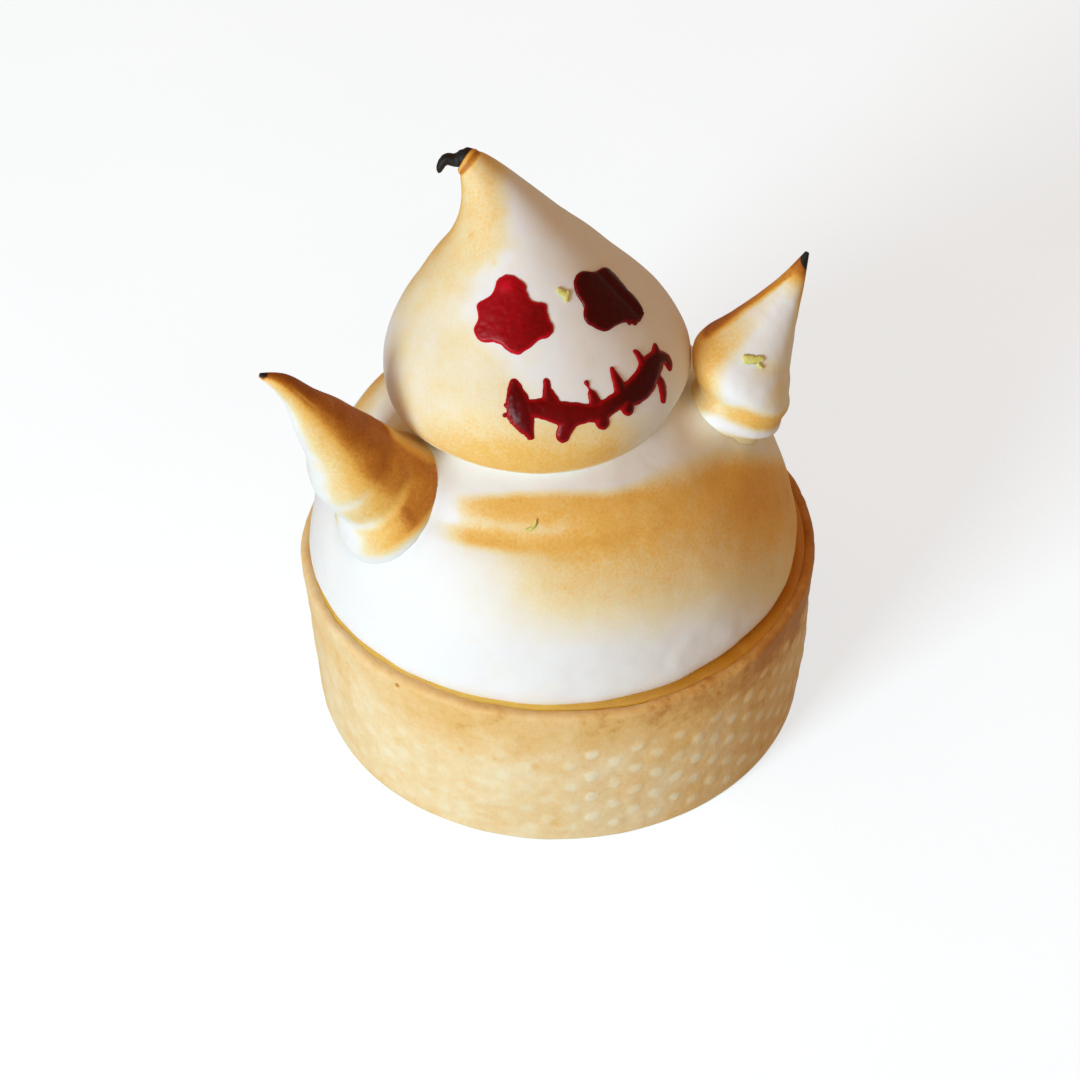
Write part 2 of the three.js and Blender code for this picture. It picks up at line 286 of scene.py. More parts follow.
class Nodes:
    """Short ways to add shader nodes to one material."""

    def __init__(self, name):
        self.material = bpy.data.materials.new(name)
        self.material.use_nodes = True
        self.tree = self.material.node_tree
        self.shader = self.tree.nodes["Principled BSDF"]
        self.place = self.tree.nodes.new("ShaderNodeTexCoord").outputs["Object"]

    def link(self, source, target):
        self.tree.links.new(source, target)

    def constants(self, **values):
        for key, value in values.items():
            self.shader.inputs[key.replace("_", " ")].default_value = value

    def noise(self, cell, detail=2.0, roughness=0.5):
        """Noise of 0 to 1 with features about cell metres wide."""
        node = self.tree.nodes.new("ShaderNodeTexNoise")
        node.inputs["Scale"].default_value = 1 / cell
        node.inputs["Detail"].default_value = detail
        node.inputs["Roughness"].default_value = roughness
        self.link(self.place, node.inputs["Vector"])
        return node.outputs["Fac"]

    def mask(self, name):
        node = self.tree.nodes.new("ShaderNodeAttribute")
        node.attribute_name = name
        return node.outputs["Fac"]

    def math(self, operation, a, b, c=None):
        node = self.tree.nodes.new("ShaderNodeMath")
        node.operation = operation
        for socket, value in zip(node.inputs, (a, b, c)):
            if isinstance(value, (int, float)):
                socket.default_value = value
            elif value is not None:
                self.link(value, socket)
        return node.outputs[0]

    def ramp(self, value, stops):
        """A colour ramp of (position, colour) stops."""
        node = self.tree.nodes.new("ShaderNodeValToRGB")
        ends = node.color_ramp.elements
        while len(ends) < len(stops):
            ends.new(0.5)
        for stop, (position, colour) in zip(ends, stops):
            stop.position = position
            stop.color = colour
        self.link(value, node.inputs["Fac"])
        return node.outputs["Color"]

    def mix(self, share, source, colour):
        """The source's colour, turning to one constant colour by share."""
        node = self.tree.nodes.new("ShaderNodeMix")
        node.data_type = "RGBA"
        self.link(share, node.inputs[0])
        self.link(source, node.inputs[6])
        node.inputs[7].default_value = colour
        return node.outputs[2]

    def bump(self, height, distance):
        """Relief finer than the mesh; distance in metres."""
        node = self.tree.nodes.new("ShaderNodeBump")
        node.inputs["Distance"].default_value = distance
        self.link(height, node.inputs["Height"])
        self.link(node.outputs["Normal"], self.shader.inputs["Normal"])

    def colour(self, source):
        self.link(source, self.shader.inputs["Base Color"])

    def roughness(self, source):
        self.link(source, self.shader.inputs["Roughness"])


def meringue_material():
    """Meringue, from white through torch gold and brown to char by the toast mask, which in a few places
    also holds painted shade.
    """
    n = Nodes("meringue")
    toast = n.mask("toast")
    speckle = n.math("SUBTRACT", n.noise(0.00042, 3.0, 0.65), 0.5)
    blotch = n.math("SUBTRACT", n.noise(0.0022, 3.0), 0.5)
    grain = n.math("ADD", n.math("MULTIPLY", speckle, 0.42), n.math("MULTIPLY", blotch, 0.2))
    most = n.math("MINIMUM", n.math("MULTIPLY", toast, 2.6), 1.0)
    least = n.math("MINIMUM", n.math("MULTIPLY", n.math("SUBTRACT", 1.0, toast), 2.0), 1.0)
    level = n.math("MULTIPLY_ADD", grain, n.math("MULTIPLY", most, least), toast)
    n.colour(
        n.ramp(
            level,
            [
                (0.0, srgb(243, 243, 243)),
                (0.15, srgb(243, 235, 214)),
                (0.3, srgb(243, 224, 176)),
                (0.45, srgb(243, 211, 147)),
                (0.6, srgb(242, 192, 99)),
                (0.72, srgb(233, 173, 75)),
                (0.82, srgb(206, 134, 44)),
                (0.9, srgb(172, 94, 10)),
                (1.0, srgb(26, 21, 21)),
            ],
        )
    )
    n.roughness(n.math("MULTIPLY_ADD", n.noise(0.003), 0.15, 0.5))
    n.constants(Subsurface_Weight=0.15, Subsurface_Scale=0.0012, Specular_IOR_Level=0.35)
    n.bump(n.noise(0.0008, 3.0, 0.5), 0.000015)
    return n.material


def pastry_material():
    """Baked sweet pastry: mottled gold with paler dots and a few deeper flecks."""
    n = Nodes("pastry")
    patches = n.math("SUBTRACT", n.noise(0.005, 4.0, 0.6), 0.5)
    mottle = n.math("SUBTRACT", n.noise(0.0013, 3.0, 0.6), 0.5)
    grain = n.math("SUBTRACT", n.noise(0.00035, 2.0), 0.5)
    fleck = n.math("MAXIMUM", n.math("SUBTRACT", n.noise(0.0014, 1.0), 0.6), 0.0)
    level = n.math("MULTIPLY_ADD", patches, 0.6, n.mask("bake_and_shade"))
    level = n.math("MULTIPLY_ADD", mottle, 0.45, level)
    level = n.math("MULTIPLY_ADD", grain, 0.2, level)
    level = n.math("MULTIPLY_ADD", fleck, 0.7, level)
    level = n.math("MULTIPLY_ADD", n.mask("dot"), -0.5, level)
    level = n.math("MULTIPLY_ADD", n.mask("speck"), 0.7, level)
    charred = n.math("POWER", n.mask("speck"), 4.0)
    baked = n.ramp(
        n.math("MULTIPLY", level, 0.64),
        [
            (0.0, srgb(247, 231, 194)),
            (0.16, srgb(244, 218, 169)),
            (0.32, srgb(240, 203, 142)),
            (0.48, srgb(233, 188, 114)),
            (0.64, srgb(206, 144, 68)),
            (1.0, srgb(158, 92, 34)),
        ],
    )
    n.colour(n.mix(charred, baked, srgb(122, 72, 26)))
    n.roughness(n.math("MULTIPLY_ADD", n.noise(0.004), 0.2, 0.5))
    n.constants(Subsurface_Weight=0.06, Subsurface_Scale=0.001, Specular_IOR_Level=0.35)
    n.bump(n.noise(0.0005, 3.0, 0.6), 0.00005)
    return n.material


def lemon_material():
    """Set lemon filling: a glossy, slightly translucent amber, with painted shade darkening it towards the
    right.
    """
    n = Nodes("lemon")
    cloud = n.math("SUBTRACT", n.noise(0.003, 3.0), 0.5)
    shaded_amber = n.math("MULTIPLY_ADD", cloud, 0.5, n.mask("shaded_amber"))
    n.colour(n.ramp(shaded_amber, [(0.0, srgb(244, 200, 84)), (1.0, srgb(206, 138, 20))]))
    n.roughness(n.math("MULTIPLY_ADD", n.noise(0.002), 0.15, 0.12))
    n.constants(Subsurface_Weight=0.3, Subsurface_Scale=0.001, Coat_Weight=0.4)
    n.bump(n.noise(0.0012, 2.0), 0.00006)
    return n.material


def gel_material():
    """Raspberry gel: bright red where it is thin, very dark red where it is deep, with a painted highlight
    on the left eye's lobe.
    """
    n = Nodes("raspberry_gel")
    cloud = n.math("SUBTRACT", n.noise(0.0007, 3.0), 0.5)
    n.colour(
        n.ramp(
            n.math("MULTIPLY_ADD", cloud, 0.3, n.mask("deep_and_highlight")),
            [
                (0.0, srgb(204, 14, 38)),
                (0.3, srgb(168, 2, 16)),
                (0.6, srgb(124, 1, 6)),
                (1.0, srgb(66, 0, 2)),
            ],
        )
    )
    n.roughness(n.math("MULTIPLY_ADD", n.noise(0.0012, 3.0), 0.3, 0.2))
    n.constants(Specular_IOR_Level=0.14, Subsurface_Weight=0.05, Subsurface_Scale=0.0004)
    n.bump(n.noise(0.0004, 3.0), 0.000015)
    return n.material


def zest_material():
    """Lime zest: pale yellow to yellow green."""
    n = Nodes("lime_zest")
    n.colour(n.ramp(n.noise(0.0005), [(0.3, srgb(240, 232, 144)), (0.7, srgb(206, 204, 98))]))
    n.roughness(n.math("MULTIPLY_ADD", n.noise(0.0005), 0.2, 0.4))
    n.bump(n.noise(0.0002), 0.00004)
    return n.material


def floor_material():
    """A pale floor that stays as bright as a lit sweep under the soft, low key light."""
    n = Nodes("pale_floor")
    n.colour(n.ramp(n.noise(0.05), [(0.3, srgb(246, 245, 243)), (0.7, srgb(249, 248, 247))]))
    n.constants(Roughness=0.8, Specular_IOR_Level=0.0)
    n.constants(Emission_Color=(0.41, 0.55, 0.65, 1.0), Emission_Strength=1.0)
    return n.material


# ---- pastry case ------------------------------------------------------------------------


def case_section():
    """The case's section from the axis below, up the wall and down to the axis inside."""
    inside = RIM_R - RIM_WALL
    rim = RIM_WALL / 2
    corners = [(1.0, 0.0), (12.0, 0.0), (24.0, 0.0), (30.0, 0.0), (FOOT_R - FOOT_ROUND - 1, 0.0)]
    for a in np.radians(np.linspace(-90, 0, 9)):
        x = FOOT_R - FOOT_ROUND + FOOT_ROUND * math.cos(a)
        corners.append((x, FOOT_ROUND + FOOT_ROUND * math.sin(a)))
    wall = np.linspace(FOOT_ROUND, RIM_Z - rim, 76)[1:]
    for z in wall:
        share = (z - FOOT_ROUND) / (RIM_Z - rim - FOOT_ROUND)
        corners.append((FOOT_R + (RIM_R - FOOT_R) * share**0.7, z))
    for a in np.radians(np.linspace(0, 180, 15))[1:]:
        corners.append((RIM_R - rim + rim * math.cos(a), RIM_Z - rim + rim * math.sin(a)))
    for z in np.linspace(RIM_Z - 1.5, FLOOR + 3, 8):
        corners.append((inside - 1.2 * (RIM_Z - z) / (RIM_Z - FLOOR - 3), z))
    corners += [(inside - 3, FLOOR), (20.0, FLOOR), (1.0, FLOOR)]
    return np.array(corners)


def pastry_case():
    """The case, with the raised dots that a perforated ring leaves in its wall."""
    around = 760
    dot_height = 0.09
    section = case_section()
    angle = np.linspace(0, 2 * math.pi, around, endpoint=False)[None, :]
    r = section[:, :1]
    z = section[:, 1:] + 0 * angle
    flat = np.stack([r * np.cos(angle), r * np.sin(angle), z], axis=2)
    radial = np.stack([np.cos(angle), np.sin(angle), 0 * angle], axis=2)

    on_wall = ramp(z, 0.3, 1.6) * (r > WALL_FROM)
    columns = 74
    rise = 4.52  # from one dot to the next above it; neighbouring columns are half a rise off
    first = math.atan2(-RIM_R, 4.3)  # the angle of the column of dots that shows best
    column = (angle - first) * columns / (2 * math.pi)
    nearest = np.round(column)
    sideways = (column - nearest) * 2 * math.pi * r / columns
    start = 0.8 + 0.5 * rise * (nearest % 2)
    row = np.round((z - start) / rise)
    upright = z - start - row * rise
    cell = np.stack([nearest % columns + 0 * row, row, 0 * row], axis=2)
    luck = 0.5 + 0.5 * noise(cell * 1.0 + 0.5, 0.9, 3)
    right = ramp(flat[..., 0], -8.0, 14.0)
    strong = np.clip((0.6 + 0.4 * luck) * (0.3 + 0.7 * right), 0, 1)
    strong = np.maximum(strong, (nearest % columns < 0.5) * 1.4)
    first_row = RIM_Z - 5.5 + 2.5 * ramp(flat[..., 0], 14, 30)
    strong = strong * ramp(z, first_row, first_row - 3) * ramp(z, 1.5, 3.5) * on_wall
    far = np.hypot(sideways + 0.22 * noise(flat, 2.2, 8), upright + 0.22 * noise(flat, 2.2, 9))
    dot = ramp(far, 1.3, 0.5) * strong

    uneven = 0.16 * noise(flat, 9.0, 11, 2) + 0.05 * noise(flat, 1.6, 12, 2)
    uneven = uneven * on_wall
    points = flat + radial * (dot_height * dot + uneven)[..., None]
    upper = ramp(z, 0.7 * RIM_Z, RIM_Z)
    points[..., 2] += (rim_wave(angle) + 0.08 * noise(flat, 2.2, 14, 2)) * upper
    crumb = bell(angle, math.radians(238), 0.4) * ramp(z, RIM_Z - 1.6, RIM_Z - 0.4)
    points -= radial * (0.5 * crumb * ramp(r, RIM_R - 0.85, RIM_R - RIM_WALL))[..., None]
    points[..., 2] += 0.05 * noise(flat, 3.0, 15) * ramp(z, 1.2, 0.3) * (z > 0.02)

    bake_and_shade = 0.3 + 0.3 * ramp(z, RIM_Z - 12, RIM_Z - 2) * ramp(flat[..., 0], -34, -12)
    # The 0.4 term browns the right side: partly a deeper bake, partly painted shade on the side away from
    # the key light.
    bake_and_shade = bake_and_shade + 0.1 * ramp(z, RIM_Z - 12, RIM_Z - 2) + 0.4 * ramp(flat[..., 0], 4, 36)
    bake_and_shade = bake_and_shade + 0.12 * noise(flat, 5.0, 17, 2)
    speck = 0 * z
    for at, height, size, strength in specks():
        d = np.hypot(RIM_R * np.angle(np.exp(1j * (angle - at))), z - height)
        speck = np.maximum(speck, strength * ramp(d, size, 0.35 * size) * (r > WALL_FROM))
    piece = ring_piece("pastry_case", points, {"dot": dot, "bake_and_shade": bake_and_shade, "speck": speck})
    return finish_piece(piece, pastry_material(), ["crust"])


def rim_wave(angle):
    """How far the rim, and the filling with it, rises and falls around the tart."""
    high_part = 0.3 * bell(angle, math.radians(236), 0.5)
    return 0.2 * np.sin(3 * angle + 0.8) + 0.1 * np.sin(7 * angle) + high_part


def specks():
    """Darker specks on the pastry: (angle, height, radius, strength), those seen and others."""
    seen = [(-127, RIM_Z - 1.0, 0.55, 0.8), (-5, 16.5, 0.5, 1.0), (-95.5, 16.6, 1.0, 0.4)]
    seen += [(-92, 4.2, 1.1, 0.3), (-104, 10.5, 0.7, 0.25), (-112, 18.0, 0.8, 0.2)]
    found = [(math.radians(a), z, size, strength) for a, z, size, strength in seen]
    rng = np.random.default_rng(21)
    for _ in range(14):
        place = (rng.uniform(0, math.pi), rng.uniform(3, RIM_Z))
        found.append((*place, rng.uniform(0.4, 0.8), rng.uniform(0.3, 0.9)))
    return found


# ---- lemon filling ----------------------------------------------------------------------


def lemon_filling():
    """The filling, standing up as a glossy bead between the rim and the meringue."""
    around = 480
    wall = RIM_R - RIM_WALL
    low = FLOOR + 0.3
    bead = RIM_Z - 0.2
    section = [(1.0, low), (wall - 3.3, low), (wall - 1.4, low + 3), (wall - 0.25, 20.0)]
    section += [(wall + 0.1, bead - 1.2), (wall + 0.2, bead - 0.5), (wall + 0.26, bead - 0.1)]
    section += [(wall + 0.05, bead), (wall - 0.5, bead + 0.02), (wall - 1.2, bead - 0.05)]
    section += [(wall - 2.5, bead - 0.2), (1.0, bead - 0.3)]
    section = np.array(section)
    angle = np.linspace(0, 2 * math.pi, around, endpoint=False)[None, :]
    r = section[:, :1]
    z = section[:, 1:] + 0 * angle
    grid = np.stack([r * np.cos(angle), r * np.sin(angle), z], axis=2)
    wave = rim_wave(angle) + 0.05 * noise(grid, 4.0, 31, 2)
    grid[..., 2] += wave * ramp(z, bead - 1.5, bead - 0.4)
    # Painted shade: the filling's amber darkens towards the right, away from the key light.
    piece = ring_piece("lemon_curd", grid, {"shaded_amber": ramp(grid[..., 0], -6.0, 30.0)})
    return finish_piece(piece, lemon_material(), ["lemon_filling"])


# ---- meringue ---------------------------------------------------------------------------


def face_place(grid, origin):
    """How far across and up the face's plane each point stands from origin."""
    off = grid - origin
    return off @ ACROSS, off @ FACE_UP


def meringue_piece(name, grid, masks, *nodes):
    return finish_piece(ring_piece(name, grid, masks), MERINGUE, nodes)


def dome():
    """The body: a dome with the soft ledge of its second turn of piping."""
    edge = 1.6
    stations = [(DOME_X, 0, DOME_Z, DOME_R - 1.1), (DOME_X, 0, DOME_Z + 0.6 * edge, DOME_R - 0.3)]
    height = DOME_TOP - DOME_Z - edge
    for a in np.linspace(0, 0.985 * math.pi / 2, 13):
        stations.append((DOME_X, 0, DOME_Z + edge + height * math.sin(a), DOME_R * math.cos(a)))
    grid, _, _ = piped(stations, along=190, around=300)
    normal = normals_of(grid)
    z = grid[..., 2]
    ledge = 0.3 * bell(z, 51.0, 1.7) - 0.22 * bell(z, 48.2, 1.3)
    soft = 0.28 * noise(grid, 13.0, 41, 2) + 0.04 * noise(grid, 2.5, 42, 2)
    dimples = 0.06 * noise(grid, 1.6, 43) * bell(z, 31.0, 3.0)
    grid = grid + normal * (ledge + soft + dimples)[..., None]
    return grid, {"toast": dome_toast(grid, normal)}


def dome_toast(grid, normal):
    """Torch marks: a band under the face with a fading lower edge, and a browned back, with painted shade
    on the body right of the head.
    """
    across, up = face_place(grid, np.array([0.0, 0.0, RIM_Z]))
    wander = noise(grid, 4.0, 51, 3)
    low = up + 0.7 * wander - np.interp(across, (14, 18, 22, 30), (0, 1.7, 2.3, 1.4))
    fade = (0, 0.14, 0.29, 0.42, 0.48, 0.54, 0.58, 0.62)
    level = np.interp(low, (-15.8, -12.9, -10, -7.4, -4.7, -3, -1.3, 4), fade)
    crest = np.interp(
        across, (-16.5, -11.7, -6.3, -1, 5.7, 12.4, 18), (0.9, -0.4, -1.3, -2, -1.1, 0.7, 2.7)
    )
    over = up - crest
    under = np.interp(across, (-14, -10, -7.6, -5, -2.3, 1), (0.1, 0.18, 0.35, 0.55, 0.8, 1))
    level *= under + (1 - under) * ramp(over, -1.9, -0.3)
    level *= 1 - ramp(over, 0.8, 1.8) * np.interp(across, (-14.4, -12.8, -10.5, -8), (1, 0.35, 0.15, 0))
    level += 0.07 * bell(over, 0, 0.8) * ramp(across, 14, 4)
    level -= 0.16 * bell(over, 2.4, 0.75) * ramp(across, 5, -3)
    level += 0.08 * ramp(across, 22, 28) * bell(up, 4, 5) - 0.04 * wander
    top = np.interp(across, (6, 11, 14, 17, 22, 28), (5.3, 6.3, 7.4, 8.2, 10.5, 10.3)) + 0.2 * wander
    soft = np.interp(across, (6, 11, 16.5, 20, 28), (0.9, 1.3, 3.2, 3.4, 2.2))
    facing = normal @ FACE_OUT
    soft = soft + 6 * ramp(facing, 0.25, -0.1)
    level *= ramp(up, top + soft, top - soft) * ramp(across, -17.2, -11)
    # Painted shade: a tan tone on the body right of the head, where the head's shadow falls.
    level = np.maximum(level, 0.16 * ramp(across, 15, 21) * ramp(up, 5, 9))
    level = np.maximum(level, 0.45 * bell(np.hypot(across + 21.5, up - 14.0), 0, 1.6))
    right = ramp(normal[..., 0], 0.2, 0.8)
    behind = ramp(facing, 0.12, -0.25 - 0.45 * right)
    height = grid[..., 2] + 1.5 * wander
    back = (0.36 + 0.12 * noise(grid, 9.0, 54, 2)) * ramp(height, 30 - 3 * right, 38)
    back += 0.16 * bell(height, 47.5, 2.2)
    edge = 0.6 * bell(facing, 0.2, 0.24) + 0.25 * bell(facing, 0.09, 0.05)
    edge = edge * ramp(height, 40, 46) * ramp(across, -14, -20)
    return np.clip(np.maximum(level * (1 - behind) + back * behind, edge), 0, 0.95)


# The stations of the head and the arms are (x, y, z, radius, lean). A least-squares fit to
# the photo's outlines gave x, z and radius, rounded; y and lean were chosen, and so were
# the two lowest stations of each arm.
HEAD_STATIONS = np.array(
    [
        (1.9, -0.8, -5.2, 17.8, 0),
        (0.1, -0.6, -3.5, 19.8, 0),
        (0.2, 0, -0.6, 21.2, 0),
        (0.2, 0.1, 3.4, 20.6, 0),
        (-0.2, 0.5, 7.4, 18.4, 0),
        (-1.2, 1.1, 11.4, 15.2, 0.15),
        (-2.3, 1.8, 15.4, 11.9, 0.4),
        (-3.4, 2.5, 19.4, 8.35, 0.7),
        (-4.7, 3.2, 23.4, 5.4, 1),
        (-6.4, 3.7, 27.2, 3.15, 1),
        (-8.3, 4, 29.6, 1.85, 1),
        (-8.5, 4.1, 29.7, 1.75, 1),
    ]
)


def head():
    """The head: a teardrop whose tip is drawn to the left and broken off square."""
    grid, t, _ = piped(HEAD_STATIONS + (*HEAD, 0, 0), along=270, around=260)
    normal = normals_of(grid)
    z = grid[..., 2] - HEAD[2]
    soft = 0.18 * noise(grid, 11.0, 61, 2) + 0.02 * noise(grid, 2.4, 62, 2)
    lip = 0.06 * bell(t, 0.993, 0.005) - 0.07 * bell(t, 0.983, 0.005)
    grid = grid + normal * (soft * ramp(z, 26, 18) + lip)[..., None]
    return grid, {"toast": head_toast(grid, normal, t)}


def head_toast(grid, normal, t):
    """Gold down the left side, a browner band low on the front, and a scorched tip."""
    across, up = face_place(grid, HEAD)
    wander = noise(grid, 3.5, 71, 3)
    facing = normal @ FACE_OUT
    edge = np.interp(up, (-10, -2, 4, 9, 13, 23, 30), (2.0, -3.0, -8.0, -6.5, -2.6, -2.6, -4.0))
    left = np.interp(
        up,
        (-16, -12, -8, -4, 3, 8, 13, 20, 26, 29),
        (0.5, 0.47, 0.3, 0.24, 0.2, 0.26, 0.38, 0.42, 0.48, 0.6),
    )
    left = left + 0.16 * ramp(facing, 0.6, 0.1) * ramp(up, 4, 10)
    left = left * (1 - 0.85 * ramp(facing, 0.58, 0.24) * ramp(up, 11, 3))
    left = left * ramp(across, edge + 1.0 + 0.6 * wander, edge - 3.0) + 0.06 * wander
    low = np.interp(up + 0.6 * wander, (-15.5, -13.5, -11, -9.6, -7.8), (0.6, 0.57, 0.4, 0.26, 0))
    low = low * ramp(across, 18.5, 9.0) * (1 - 0.7 * ramp(facing, 0.3, 0.12))
    behind = ramp(facing, 0.0, -0.5)
    back = 0.34 + 0.14 * wander - 0.2 * ramp(normal[..., 0], 0.0, 0.9)
    toast = np.maximum(left, low) * (1 - behind) + back * behind
    for a, b, size in ((-7.9, 15.0, 0.6), (-5.0, 11.1, 0.5)):
        toast = toast + 0.14 * bell(np.hypot(across - a, up - b), 0, size)
    lip = 0.66 * ramp(t, 0.982, 0.99) + 0.8 * bell(t, 0.982, 0.006)
    char = ramp(t, 0.997, 0.999) + 0 * up
    return np.clip(np.maximum(np.maximum(toast, lip), char), 0, 1)


def curl():
    """The scorched curl that hangs out of the head's broken tip."""
    route = [
        (-6.9, 4.1, 28.9, 1.1),
        (-7.7, 4.1, 29.45, 1.45),
        (-8.35, 4.1, 29.8, 1.6),
        (-8.95, 4.1, 29.9, 1.25),
        (-9.6, 4.1, 29.75, 0.95),
        (-10.2, 4.1, 29.75, 0.86),
        (-10.8, 4.1, 29.8, 0.85),
        (-11.4, 4.0, 29.45, 0.66),
        (-11.8, 3.9, 28.8, 0.5),
        (-12.0, 3.8, 28.2, 0.36),
        (-12.1, 3.8, 27.95, 0.1),
    ]
    grid, _, _ = piped(np.array(route) + (*HEAD, 0), along=80, around=48)
    grid = grid + normals_of(grid) * (0.1 * noise(grid, 0.9, 81, 2))[..., None]
    toast = 1.3 - 0.05 * np.abs(noise(grid, 0.6, 82))  # over 1, so that it is black throughout
    return meringue_piece("scorched_curl", grid, {"toast": toast})


LEFT_BASE = (-0.61, -0.33, 0.72)  # what the arm's lowest rings are square to
LEFT_ARM = [
    (17.1, 4.4, -28.1, 7.6, 0),
    (15.6, 3.6, -26.3, 8.5, 0),
    (13.3, 2.7, -20.2, 7.2, 0),
    (10.3, 2, -16.2, 6.6, 0.05),
    (8.7, 1.4, -12.1, 4.9, 0.25),
    (6.6, 0.9, -7.9, 3.45, 0.5),
    (4.6, 0.5, -4.2, 2, 0.8),
    (2.4, 0.2, -1.4, 1.25, 1),
    (0, 0, 0, 0.3, 1),
]
RIGHT_BASE = (0.42, 0.05, 0.91)
RIGHT_ARM = [
    (-13, -5.5, -29, 3.4, 0),
    (-11.5, -5.8, -26.5, 5.2, 0),
    (-9.4, -6.5, -23.1, 6.1, 0),
    (-8.4, -6.6, -20.5, 5.8, 0),
    (-7.6, -6.6, -18.2, 5.7, 0),
    (-8.2, -6.5, -16.3, 6.5, 0),
    (-8.6, -5.5, -14.4, 6.95, 0.1),
    (-7.2, -4.3, -12.1, 5.9, 0.4),
    (-5, -3, -9, 4.05, 0.7),
    (-2.4, -1.5, -4.8, 2.1, 1),
    (0, 0, 0, 0.3, 1),
]

LEFT_TURNS = [(0.205, 0.12, 0.022), (0.272, -0.1, 0.022), (0.33, 0.06, 0.02), (0.392, -0.07, 0.02)]
RIGHT_TURNS = [(0.27, 0.15, 0.02), (0.365, 0.3, 0.045), (0.48, 0.12, 0.05)]


def arm(stations, base, tip, turns, foot, bulge, toast_of):
    """An arm: a piped cone with turns (t, height, width), each a little proud of the cone.

    foot is (t, depth): below t the arm is up to depth slimmer, where it sinks into the body.
    bulge is how far the arm's left flank swells towards the head.
    """
    placed = np.array(stations) + (*tip, 0, 0)
    grid, t, out = piped(placed, along=240, around=160, upright=base)
    flank = bell(t, 0.37, 0.08) * ramp(out @ -ACROSS, 0.1, 0.9)
    grid = grid - ACROSS * (bulge * flank)[..., None]
    lean = t + 0.004 * noise(grid, 5.0, 91)
    relief = sum(height * bell(lean, at, width) for at, height, width in turns)
    relief = relief - foot[1] * ramp(t, foot[0] + 0.03, foot[0] - 0.04)
    soft = 0.12 * noise(grid, 7.0, 92, 2) + 0.03 * noise(grid, 1.5, 93, 2)
    grid = grid + normals_of(grid) * (relief + soft * ramp(t, 1.0, 0.8))[..., None]
    return grid, {"toast": toast_of(grid, out, lean)}


def left_arm_toast(grid, out, t):
    """Brown down its upper side, paling to the left, with white streaks between the turns."""
    wander = noise(grid, 3.0, 95, 3)
    u = out @ (0.69 * ACROSS + 0.72 * FACE_UP) + 0.04 * wander
    tones = (0, 0.38, 0.48, 0.56, 0.63, 0.77, 0.84, 0.885, 0.895)
    toast = np.interp(u, (-1, -0.76, -0.57, -0.38, -0.19, 0, 0.19, 0.57, 1), tones)
    toast = toast + 0.1 * ramp(t, 0.26, 0.235) * ramp(u, 0.2, 0)
    toast *= 1 - bell(t, 0.392, 0.022) * np.interp(u, (-0.76, -0.57, -0.38, -0.1), (0.75, 0.5, 0.25, 0))
    toast *= 1 - bell(t, 0.272, 0.02) * np.interp(u, (-0.76, -0.38, 0.19, 0.45), (0.75, 0.17, 0.2, 0.03))
    toast *= 1 - 0.4 * ramp(u, 0.8, 0.97) * ramp(t, 0.38, 0.33)
    left = 0.12 * ramp(t, 0.5, 0.7)
    toast *= ramp(u, -1.0 - left, -0.84 - left)
    outer = np.interp(u, (-0.2, 0.2, 0.57, 0.9), (0.153, 0.142, 0.125, 0.105))
    toast *= ramp(t, outer - 0.02, outer + 0.02)
    toast = toast + 0.02 * wander - 0.09 * bell(u, 0.28, 0.07) * bell(t, 0.82, 0.06)
    toast = toast - 0.05 * ramp(t, 0.4, 0.34) * ramp(u, 0.1, 0.5)
    toast = toast + 0.03 * ramp(t, 0.7, 0.95) * ramp(u, 0.0, 0.3)
    return np.clip(toast + 0.4 * ramp(t + 0.01 * wander, 0.965, 0.988), 0, 1)


def right_arm_toast(grid, out, t):
    """A white front, browned along its upper edge and in a ring between its turns, with painted shade on
    its left flank and neck, where the head's shadow falls.
    """
    wander = noise(grid, 3.0, 97, 3)
    u = out @ (0.6 * ACROSS - 0.8 * FACE_UP) + 0.05 * wander
    inner = np.interp(t, (0.5, 0.66, 0.79, 0.86, 0.92), (-0.4, -0.48, -0.38, -0.15, 0.4))
    brown = np.interp(t, (0.46, 0.53, 0.62, 0.75, 0.9), (0.4, 0.88, 0.88, 0.82, 0.8))
    toast = brown * ramp(u, inner, inner - 0.4) * ramp(t, 0.42, 0.53)
    # Painted shade over a light toast, where the head's shadow falls on the arm's left flank.
    head_shadow_level = np.interp(t, (0.2, 0.3, 0.42, 0.54, 0.62, 0.7), (0.4, 0.48, 0.58, 0.56, 0.32, 0.12))
    limit = np.interp(t, (0.24, 0.29), (-0.35, 0.15))
    head_shadow_tan = head_shadow_level * ramp(u, limit, limit - 0.45)
    # Painted shade with a little toast: the arm's neck, low down in the head's shadow.
    neck_shade = 0.33 * ramp(t, 0.255, 0.225)
    far_edge = np.interp(t, (0.38, 0.48, 0.56, 0.72, 0.8, 0.86), (0.2, 0.24, 0.12, 0.2, 0.5, 0.66))
    far_edge = far_edge * ramp(u, 0.72, 0.95) * ramp(t, 0.27, 0.3)
    flank = 0.22 * ramp(u, 0.3, 0.6) * bell(t, 0.56, 0.035)
    band = np.interp(u, (-0.55, -0.3, 0, 0.2, 0.8), (0, 0.2, 0.46, 0.56, 0.64))
    band = band * ramp(t, 0.268, 0.302) * ramp(t, 0.385 + 0.05 * ramp(u, 0, 0.4), 0.335)
    point = np.interp(t, (0.8, 0.86, 0.89, 0.92, 0.96), (0, 0.25, 0.58, 0.85, 0.9))
    toast = np.max([toast, head_shadow_tan, neck_shade, far_edge, flank, band, point + 0 * u], axis=0)
    return np.clip(toast + 0.03 * wander + 0.4 * ramp(t + 0.02 * u, 0.952, 0.975), 0, 1)


# ---- gel --------------------------------------------------------------------------------


